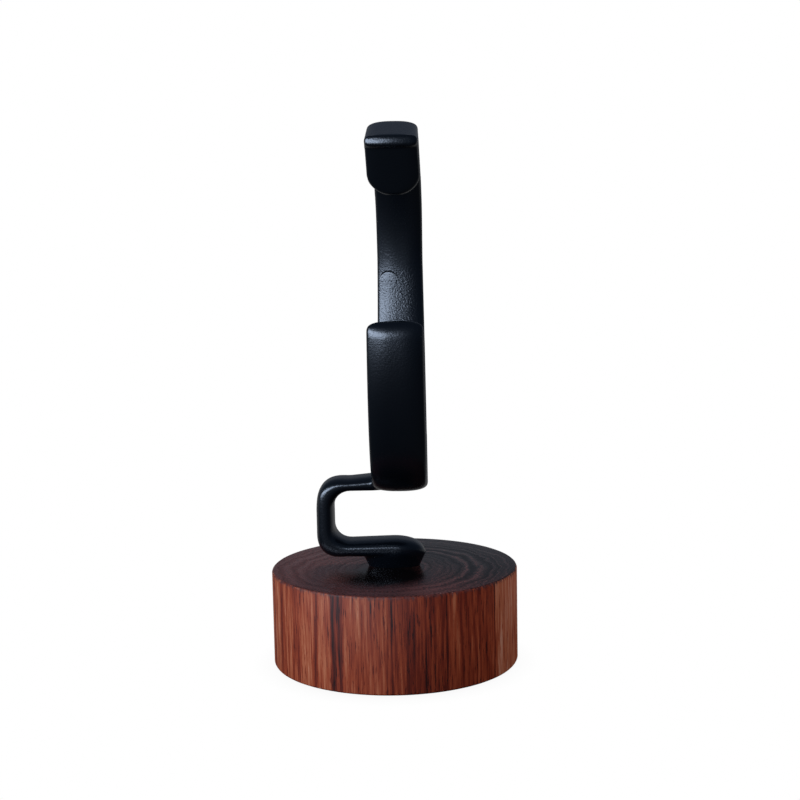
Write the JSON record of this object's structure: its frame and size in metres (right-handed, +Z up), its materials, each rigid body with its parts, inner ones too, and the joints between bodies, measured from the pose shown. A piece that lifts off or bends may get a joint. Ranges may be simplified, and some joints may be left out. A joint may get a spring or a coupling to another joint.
{
  "type": "watch holder",
  "caption": "Watch stand: a black C-shaped clip that a closed bracelet slips over, carried on a slim side neck above a round block of dark hardwood.",
  "frame": {"origin": "middle of the face that the holder stands on, on the axis of the block and its screw", "axes": "+Z up, -Y out of the clip's mouth towards the viewer of the picture, -X towards the neck"},
  "size_m": [0.05, 0.0545, 0.11],
  "materials": {
    "oiled_hardwood": "oiled reddish-brown hardwood, dark end grain on top and long grain up the side",
    "black_plastic": "satin black moulded plastic with a fine grain",
    "zinc_steel": "bright zinc plate",
    "black_rubber": "matt black sheet rubber"
  },
  "bodies": {
    "root": {"base_block": "oiled_hardwood", "holder_clip": "black_plastic", "fixing_screw": "zinc_steel", "screw_washer": "zinc_steel", "anti_slip_pad": "black_rubber"}
  },
  "joints": []
}
